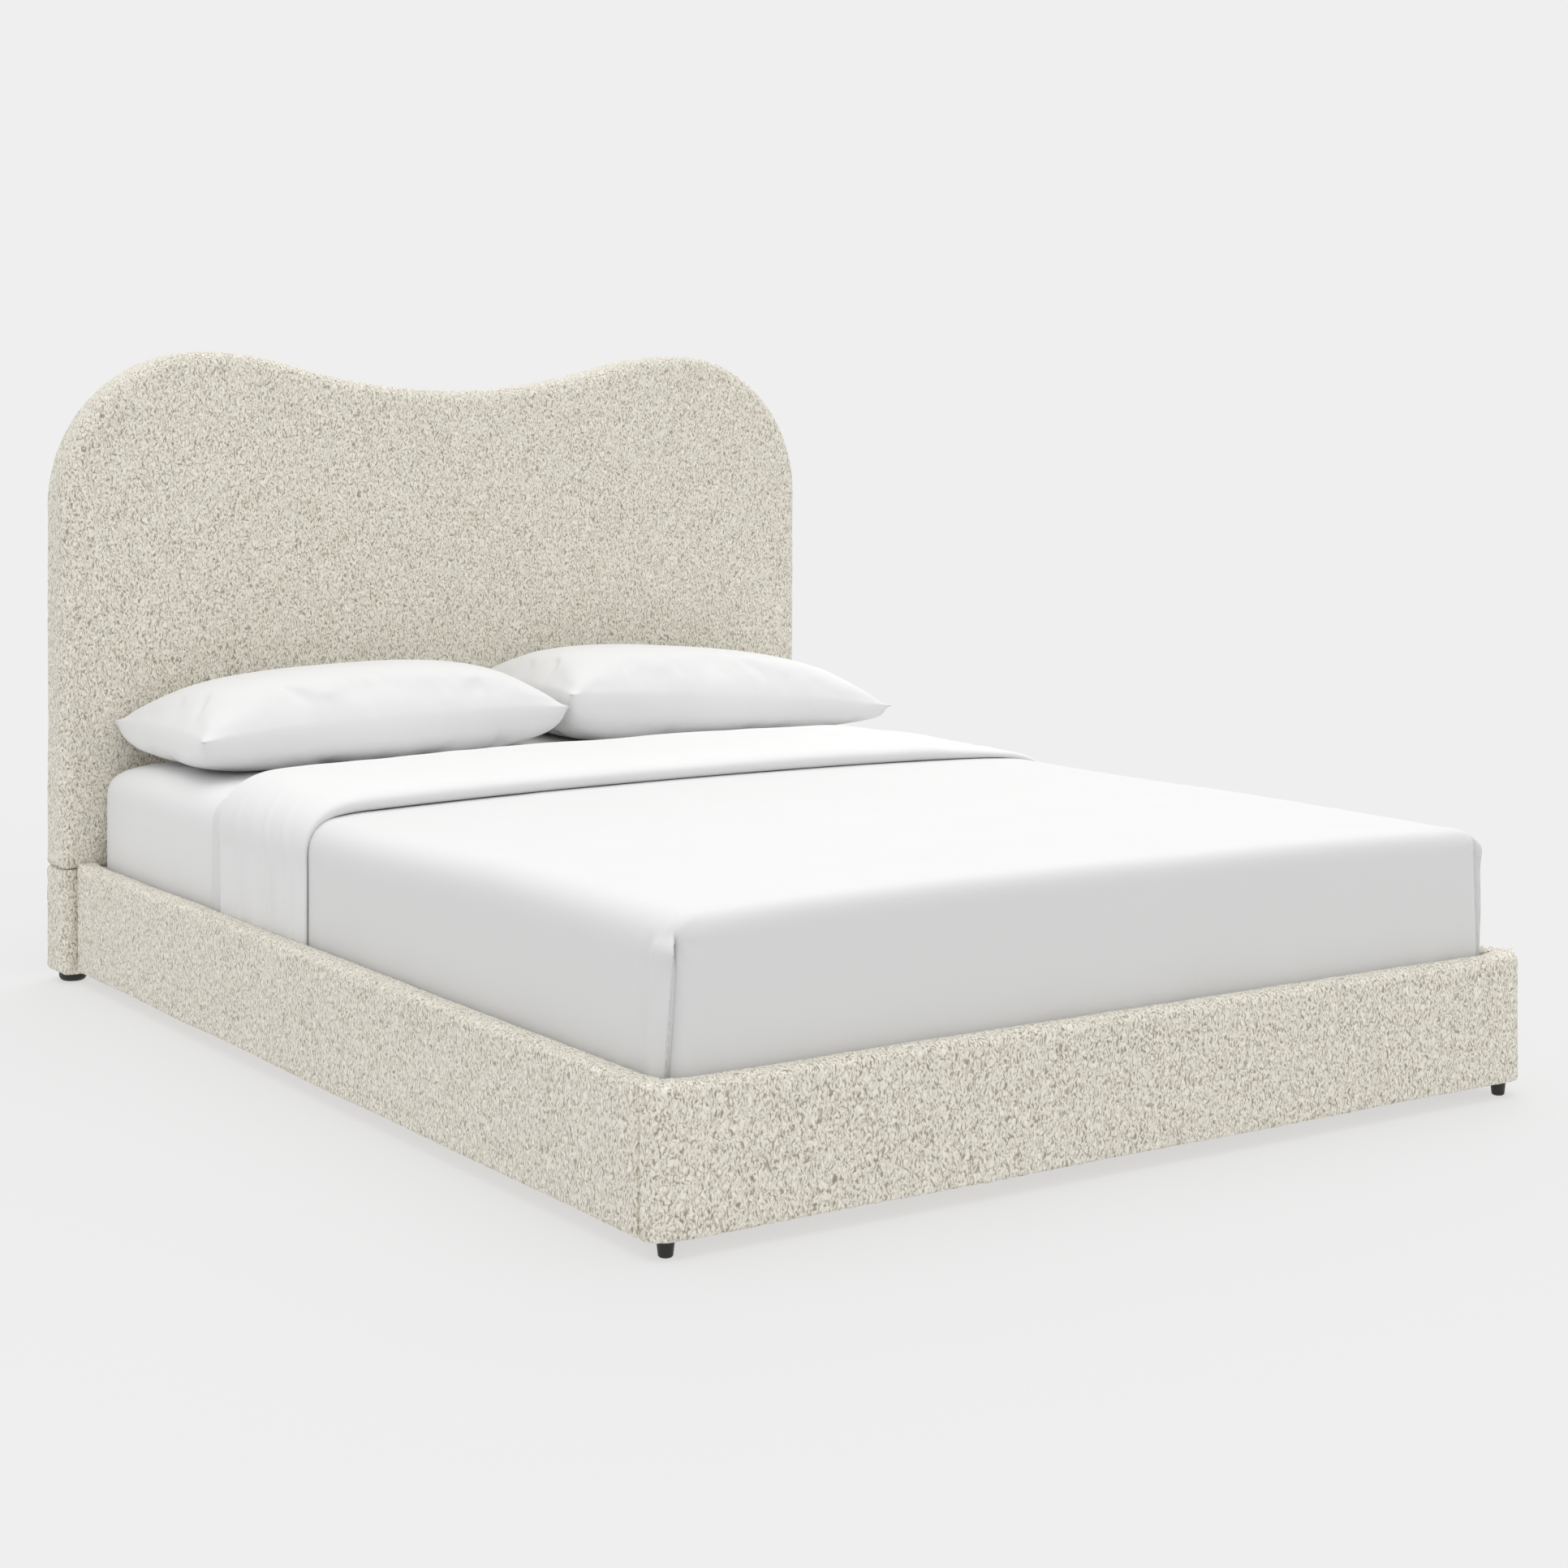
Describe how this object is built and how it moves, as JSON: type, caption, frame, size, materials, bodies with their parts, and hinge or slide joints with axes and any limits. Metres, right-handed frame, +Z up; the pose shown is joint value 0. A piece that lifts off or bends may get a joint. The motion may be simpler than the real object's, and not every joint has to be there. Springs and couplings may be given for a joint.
{
  "type": "upholstered headboard bed",
  "caption": "Queen bed with a boucle-covered wavy headboard and low padded rails, slatted platform, mattress, white bedding and pillows.",
  "frame": {"origin": "on the floor under the middle of the bed's box", "axes": "+Z up, +Y along the bed towards the headboard, +X to the right seen from the foot"},
  "size_m": [1.658, 2.1664, 1.186],
  "materials": {
    "boucle": "ivory looped boucle over foam",
    "plywood": "raw birch plywood",
    "timber": "planed softwood, unfinished",
    "dust_cover": "black non-woven dust cover",
    "black_plastic": "moulded black plastic",
    "black_steel": "black powder coat",
    "zinc": "zinc plated",
    "ticking": "woven mattress ticking",
    "white_cotton": "white cotton percale"
  },
  "bodies": {
    "frame": {"headboard_padding": "boucle", "headboard_base_padding": "boucle", "left_rail_padding": "boucle", "right_rail_padding": "boucle", "foot_rail_padding": "boucle", "headboard_front_board": "plywood", "headboard_left_stile": "timber", "headboard_right_stile": "timber", "headboard_middle_stile": "timber", "headboard_batten": "timber", "headboard_base_beam": "timber", "left_rail_board": "timber", "right_rail_board": "timber", "foot_rail_board": "timber", "left_slat_ledge": "timber", "right_slat_ledge": "timber", "centre_beam": "timber", "slat_01": "timber", "slat_02": "timber", "slat_03": "timber", "slat_04": "timber", "slat_05": "timber", "slat_06": "timber", "slat_07": "timber", "slat_08": "timber", "slat_09": "timber", "slat_10": "timber", "slat_11": "timber", "slat_12": "timber", "headboard_back_cover": "dust_cover", "headboard_base_back_cover": "dust_cover", "headboard_left_glide": "black_plastic", "headboard_right_glide": "black_plastic", "front_left_foot": "black_plastic", "front_right_foot": "black_plastic", "head_left_bracket": "black_steel", "head_right_bracket": "black_steel", "foot_left_bracket": "black_steel", "foot_right_bracket": "black_steel", "head_beam_hanger": "black_steel", "foot_beam_hanger": "black_steel", "foot_centre_leg": "black_steel", "middle_centre_leg": "black_steel", "head_centre_leg": "black_steel", "head_left_bolt": "zinc", "head_right_bolt": "zinc", "foot_left_bolt": "zinc", "foot_right_bolt": "zinc", "left_joining_plate": "zinc", "right_joining_plate": "zinc"},
    "mattress": {"mattress": "ticking", "fitted_sheet": "white_cotton", "blanket": "white_cotton", "turned_down_band": "white_cotton"},
    "left_pillow": {"left_pillow": "white_cotton"},
    "right_pillow": {"right_pillow": "white_cotton"},
    "foot_leveller": {"foot_leveller": "black_plastic"},
    "middle_leveller": {"middle_leveller": "black_plastic"},
    "head_leveller": {"head_leveller": "black_plastic"}
  },
  "joints": [
    {"name": "mattress_lift", "type": "slide", "parent": "frame", "child": "mattress", "axis": [0, 0, 1], "range_m": [0, 0.3]},
    {"name": "left_pillow_lift", "type": "slide", "parent": "mattress", "child": "left_pillow", "axis": [0, 0, 1], "range_m": [0, 0.25]},
    {"name": "right_pillow_lift", "type": "slide", "parent": "mattress", "child": "right_pillow", "axis": [0, 0, 1], "range_m": [0, 0.25]},
    {"name": "foot_leveller_thread", "type": "slide", "parent": "frame", "child": "foot_leveller", "axis": [0, 0, 1], "range_m": [-0.012, 0]},
    {"name": "middle_leveller_thread", "type": "slide", "parent": "frame", "child": "middle_leveller", "axis": [0, 0, 1], "range_m": [-0.012, 0]},
    {"name": "head_leveller_thread", "type": "slide", "parent": "frame", "child": "head_leveller", "axis": [0, 0, 1], "range_m": [-0.012, 0]}
  ]
}
